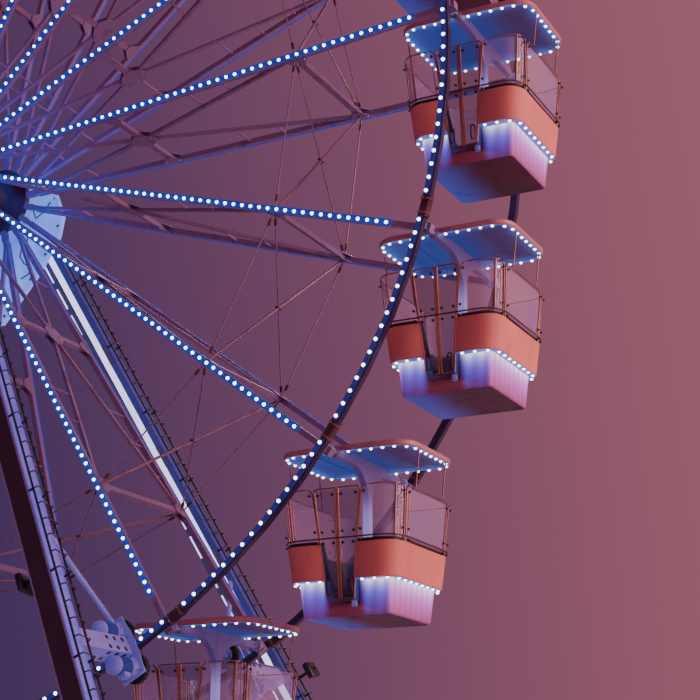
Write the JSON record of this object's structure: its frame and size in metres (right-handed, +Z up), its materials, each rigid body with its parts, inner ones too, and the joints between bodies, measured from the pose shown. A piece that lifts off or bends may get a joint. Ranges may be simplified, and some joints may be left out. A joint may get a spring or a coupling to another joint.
{
  "type": "ferris wheel",
  "caption": "Open-frame ferris wheel with lit rims and spokes, canopied gondolas that hang level, splayed legs and rim drives on a ground frame.",
  "frame": {"origin": "on the ground, under the middle of the wheel", "axes": "+Z up, +X to the right across the wheel's face, +Y along the axle away from the front"},
  "size_m": [23.245, 8.4, 24.0972],
  "materials": {
    "structure_paint": "satin lavender white",
    "rim_paint": "satin deep blue",
    "leg_paint": "satin lavender",
    "steel": "turned",
    "gondola_shell": "gloss salmon shell",
    "tyre": "matt black"
  },
  "bodies": {
    "tower": {"axle": "steel", "front_tower_head": "leg_paint", "rear_tower_head": "leg_paint", "front_left_leg": "leg_paint", "front_right_leg": "leg_paint", "rear_left_leg": "leg_paint", "rear_right_leg": "leg_paint", "front_drive_bracket": "structure_paint", "rear_drive_bracket": "structure_paint", "front_base_beam": "leg_paint", "rear_base_beam": "leg_paint", "left_base_beam": "leg_paint", "right_base_beam": "leg_paint"},
    "wheel": {"front_rim": "rim_paint", "rear_rim": "rim_paint", "hub": "structure_paint", "spoke_01": "structure_paint", "spoke_02": "structure_paint", "spoke_03": "structure_paint", "spoke_04": "structure_paint", "spoke_05": "structure_paint", "spoke_06": "structure_paint", "spoke_07": "structure_paint", "spoke_08": "structure_paint", "spoke_09": "structure_paint", "spoke_10": "structure_paint", "spoke_11": "structure_paint", "spoke_12": "structure_paint", "spoke_13": "structure_paint", "spoke_14": "structure_paint", "spoke_15": "structure_paint", "spoke_16": "structure_paint", "spoke_17": "structure_paint", "spoke_18": "structure_paint"},
    "gondola_01": {"gondola_01": "gondola_shell"},
    "gondola_02": {"gondola_02": "gondola_shell"},
    "gondola_03": {"gondola_03": "gondola_shell"},
    "gondola_04": {"gondola_04": "gondola_shell"},
    "gondola_05": {"gondola_05": "gondola_shell"},
    "gondola_06": {"gondola_06": "gondola_shell"},
    "gondola_07": {"gondola_07": "gondola_shell"},
    "gondola_08": {"gondola_08": "gondola_shell"},
    "gondola_09": {"gondola_09": "gondola_shell"},
    "gondola_10": {"gondola_10": "gondola_shell"},
    "gondola_11": {"gondola_11": "gondola_shell"},
    "gondola_12": {"gondola_12": "gondola_shell"},
    "gondola_13": {"gondola_13": "gondola_shell"},
    "gondola_14": {"gondola_14": "gondola_shell"},
    "gondola_15": {"gondola_15": "gondola_shell"},
    "gondola_16": {"gondola_16": "gondola_shell"},
    "gondola_17": {"gondola_17": "gondola_shell"},
    "gondola_18": {"gondola_18": "gondola_shell"},
    "front_inner_tyre": {"front_inner_tyre": "tyre"},
    "front_outer_tyre": {"front_outer_tyre": "tyre"},
    "rear_inner_tyre": {"rear_inner_tyre": "tyre"},
    "rear_outer_tyre": {"rear_outer_tyre": "tyre"}
  },
  "joints": [
    {"name": "wheel_spin", "type": "hinge", "parent": "tower", "child": "wheel", "pos_m": [0, 0, 13.5], "axis": [0, 1, 0], "continuous": true},
    {"name": "gondola_pivot_01", "type": "hinge", "parent": "wheel", "child": "gondola_01", "pos_m": [10.48746, 0, 14.01292], "axis": [0, 1, 0], "continuous": true},
    {"name": "gondola_pivot_02", "type": "hinge", "parent": "wheel", "child": "gondola_02", "pos_m": [10.03042, 0, 10.39507], "axis": [0, 1, 0], "continuous": true},
    {"name": "gondola_pivot_03", "type": "hinge", "parent": "wheel", "child": "gondola_03", "pos_m": [8.36356, 0, 7.15171], "axis": [0, 1, 0], "continuous": true},
    {"name": "gondola_pivot_04", "type": "hinge", "parent": "wheel", "child": "gondola_04", "pos_m": [5.68794, 0, 4.67405], "axis": [0, 1, 0], "continuous": true},
    {"name": "gondola_pivot_05", "type": "hinge", "parent": "wheel", "child": "gondola_05", "pos_m": [2.32626, 0, 3.26093], "axis": [0, 1, 0], "continuous": true},
    {"name": "gondola_pivot_06", "type": "hinge", "parent": "wheel", "child": "gondola_06", "pos_m": [-1.316, 0, 3.0828], "axis": [0, 1, 0], "continuous": true},
    {"name": "gondola_pivot_07", "type": "hinge", "parent": "wheel", "child": "gondola_07", "pos_m": [-4.79953, 0, 4.16113], "axis": [0, 1, 0], "continuous": true},
    {"name": "gondola_pivot_08", "type": "hinge", "parent": "wheel", "child": "gondola_08", "pos_m": [-7.70416, 0, 6.36587], "axis": [0, 1, 0], "continuous": true},
    {"name": "gondola_pivot_09", "type": "hinge", "parent": "wheel", "child": "gondola_09", "pos_m": [-9.67956, 0, 9.43109], "axis": [0, 1, 0], "continuous": true},
    {"name": "gondola_pivot_10", "type": "hinge", "parent": "wheel", "child": "gondola_10", "pos_m": [-10.48746, 0, 12.98708], "axis": [0, 1, 0], "continuous": true},
    {"name": "gondola_pivot_11", "type": "hinge", "parent": "wheel", "child": "gondola_11", "pos_m": [-10.03042, 0, 16.60494], "axis": [0, 1, 0], "continuous": true},
    {"name": "gondola_pivot_12", "type": "hinge", "parent": "wheel", "child": "gondola_12", "pos_m": [-8.36356, 0, 19.84829], "axis": [0, 1, 0], "continuous": true},
    {"name": "gondola_pivot_13", "type": "hinge", "parent": "wheel", "child": "gondola_13", "pos_m": [-5.68794, 0, 22.32595], "axis": [0, 1, 0], "continuous": true},
    {"name": "gondola_pivot_14", "type": "hinge", "parent": "wheel", "child": "gondola_14", "pos_m": [-2.32626, 0, 23.73907], "axis": [0, 1, 0], "continuous": true},
    {"name": "gondola_pivot_15", "type": "hinge", "parent": "wheel", "child": "gondola_15", "pos_m": [1.316, 0, 23.9172], "axis": [0, 1, 0], "continuous": true},
    {"name": "gondola_pivot_16", "type": "hinge", "parent": "wheel", "child": "gondola_16", "pos_m": [4.79953, 0, 22.83887], "axis": [0, 1, 0], "continuous": true},
    {"name": "gondola_pivot_17", "type": "hinge", "parent": "wheel", "child": "gondola_17", "pos_m": [7.70416, 0, 20.63413], "axis": [0, 1, 0], "continuous": true},
    {"name": "gondola_pivot_18", "type": "hinge", "parent": "wheel", "child": "gondola_18", "pos_m": [9.67956, 0, 17.56891], "axis": [0, 1, 0], "continuous": true},
    {"name": "front_inner_tyre_spin", "type": "hinge", "parent": "tower", "child": "front_inner_tyre", "pos_m": [4.94118, -1.575, 4.58587], "axis": [0, 1, 0], "continuous": true},
    {"name": "front_outer_tyre_spin", "type": "hinge", "parent": "tower", "child": "front_outer_tyre", "pos_m": [5.23497, -1.575, 4.05586], "axis": [0, 1, 0], "continuous": true},
    {"name": "rear_inner_tyre_spin", "type": "hinge", "parent": "tower", "child": "rear_inner_tyre", "pos_m": [4.94118, 1.575, 4.58587], "axis": [0, 1, 0], "continuous": true},
    {"name": "rear_outer_tyre_spin", "type": "hinge", "parent": "tower", "child": "rear_outer_tyre", "pos_m": [5.23497, 1.575, 4.05586], "axis": [0, 1, 0], "continuous": true}
  ],
  "couplings": [
    {"joint": "gondola_pivot_01", "follows": "wheel_spin", "ratio": -1},
    {"joint": "gondola_pivot_02", "follows": "wheel_spin", "ratio": -1},
    {"joint": "gondola_pivot_03", "follows": "wheel_spin", "ratio": -1},
    {"joint": "gondola_pivot_04", "follows": "wheel_spin", "ratio": -1},
    {"joint": "gondola_pivot_05", "follows": "wheel_spin", "ratio": -1},
    {"joint": "gondola_pivot_06", "follows": "wheel_spin", "ratio": -1},
    {"joint": "gondola_pivot_07", "follows": "wheel_spin", "ratio": -1},
    {"joint": "gondola_pivot_08", "follows": "wheel_spin", "ratio": -1},
    {"joint": "gondola_pivot_09", "follows": "wheel_spin", "ratio": -1},
    {"joint": "gondola_pivot_10", "follows": "wheel_spin", "ratio": -1},
    {"joint": "gondola_pivot_11", "follows": "wheel_spin", "ratio": -1},
    {"joint": "gondola_pivot_12", "follows": "wheel_spin", "ratio": -1},
    {"joint": "gondola_pivot_13", "follows": "wheel_spin", "ratio": -1},
    {"joint": "gondola_pivot_14", "follows": "wheel_spin", "ratio": -1},
    {"joint": "gondola_pivot_15", "follows": "wheel_spin", "ratio": -1},
    {"joint": "gondola_pivot_16", "follows": "wheel_spin", "ratio": -1},
    {"joint": "gondola_pivot_17", "follows": "wheel_spin", "ratio": -1},
    {"joint": "gondola_pivot_18", "follows": "wheel_spin", "ratio": -1},
    {"joint": "front_inner_tyre_spin", "follows": "wheel_spin", "ratio": 45.391},
    {"joint": "front_outer_tyre_spin", "follows": "wheel_spin", "ratio": -45.913},
    {"joint": "rear_inner_tyre_spin", "follows": "wheel_spin", "ratio": 45.391},
    {"joint": "rear_outer_tyre_spin", "follows": "wheel_spin", "ratio": -45.913}
  ]
}
